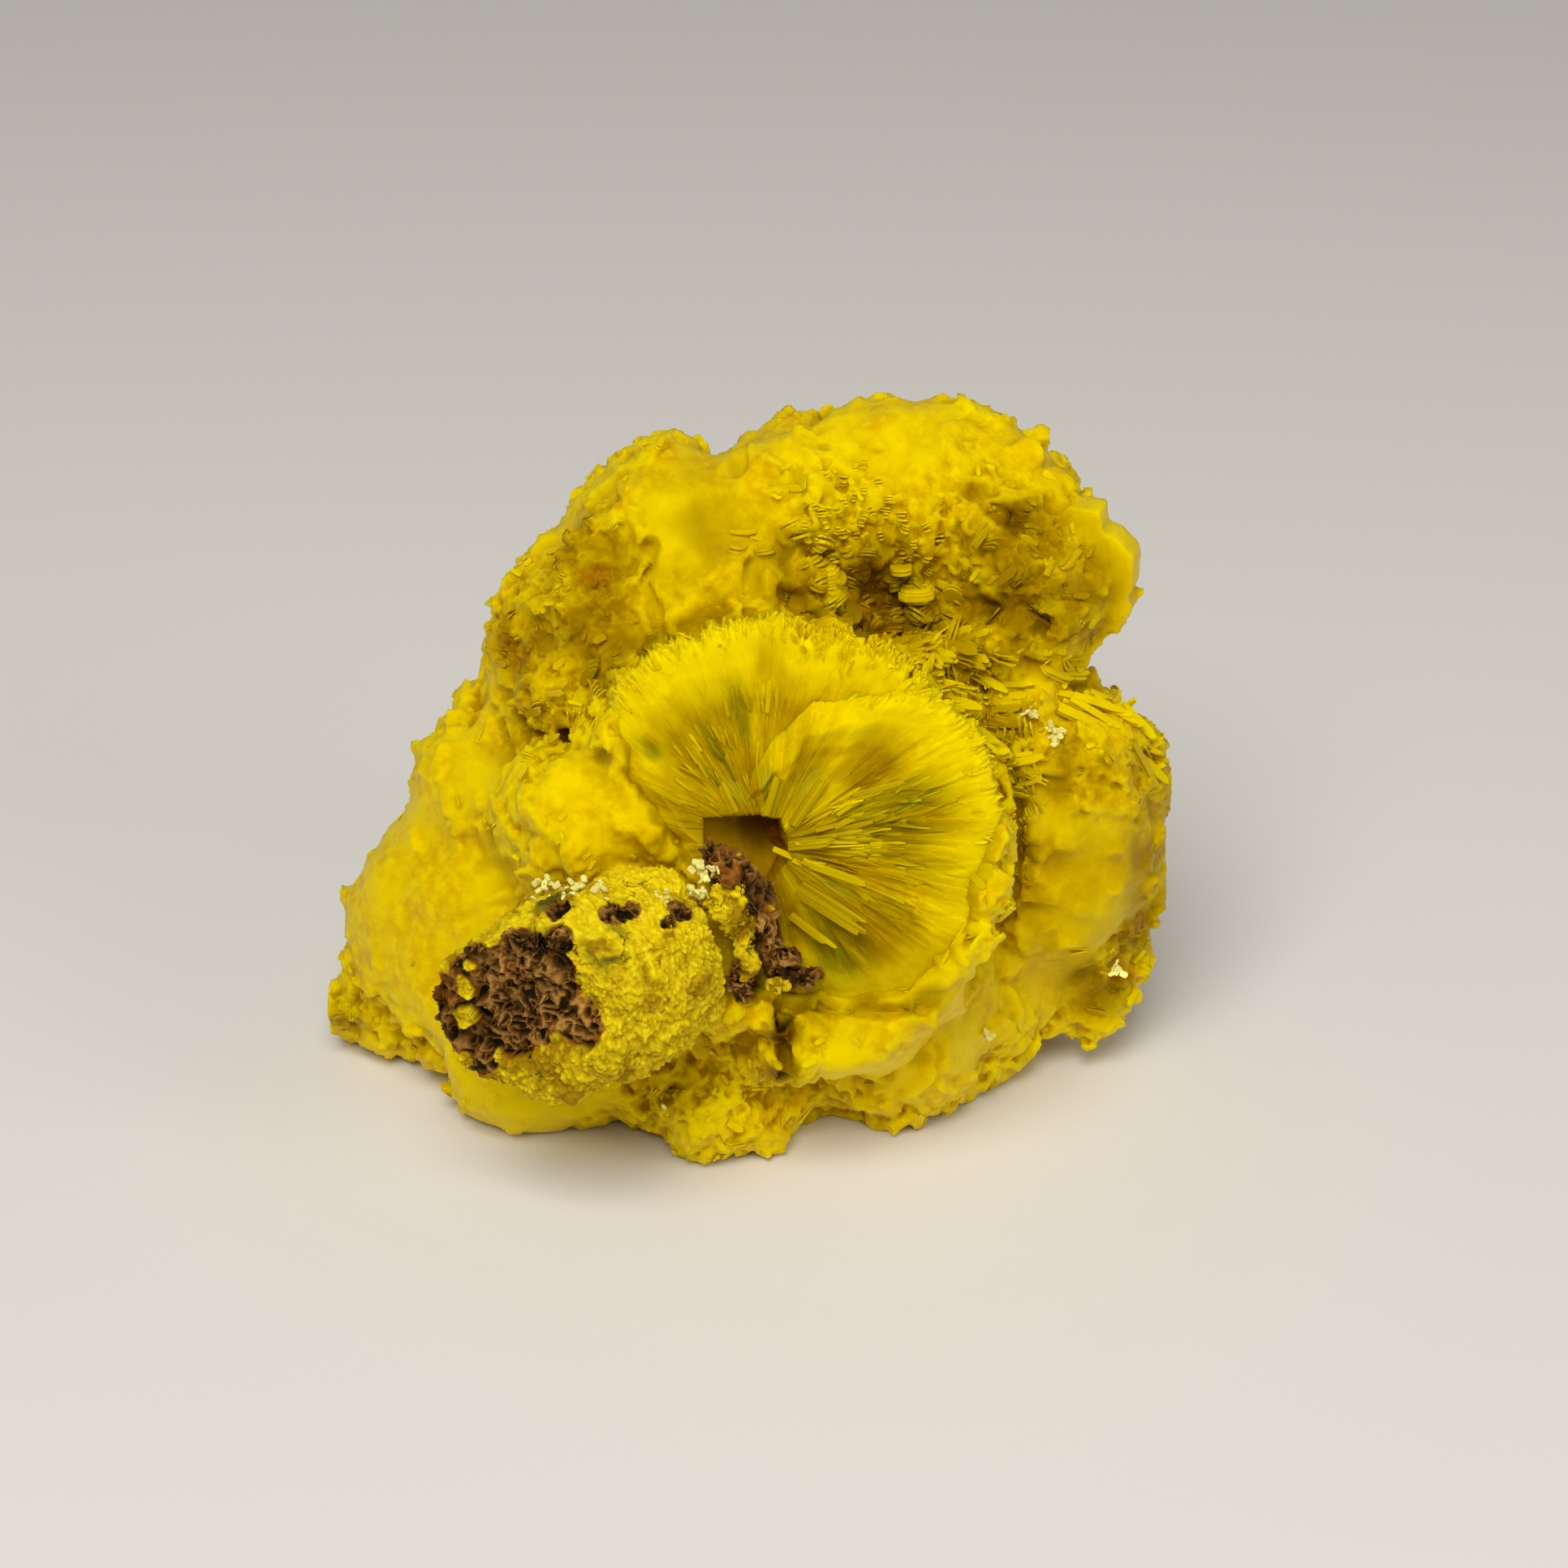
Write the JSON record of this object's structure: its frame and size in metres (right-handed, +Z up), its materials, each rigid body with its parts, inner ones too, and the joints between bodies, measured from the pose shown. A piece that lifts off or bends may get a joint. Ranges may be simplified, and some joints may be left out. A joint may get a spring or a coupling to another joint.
{
  "type": "vanuralite crystal cluster",
  "caption": "Lemon-yellow cluster of fine tabular mineral crystals, with a broken radiating fan around a small cavity, on a stub of brown porous matrix.",
  "frame": {"origin": "on the resting plane, under the middle of the cluster", "axes": "+X to the right along the longest extent, +Y to the back, away from the broken fan, +Z up"},
  "size_m": [0.0224, 0.0168, 0.0179],
  "materials": {
    "yellow_crystal": "translucent lemon-yellow crystal sheaves, glassy on the tips and amber-brown in the hollows",
    "crusted_matrix": "brown porous rock under a matt powdery yellow crust",
    "brown_matrix": "matt dark brown porous ironstone"
  },
  "bodies": {
    "root": {"crystal_cluster": "yellow_crystal", "matrix_stub": "crusted_matrix", "matrix_seam": "brown_matrix"}
  },
  "joints": []
}
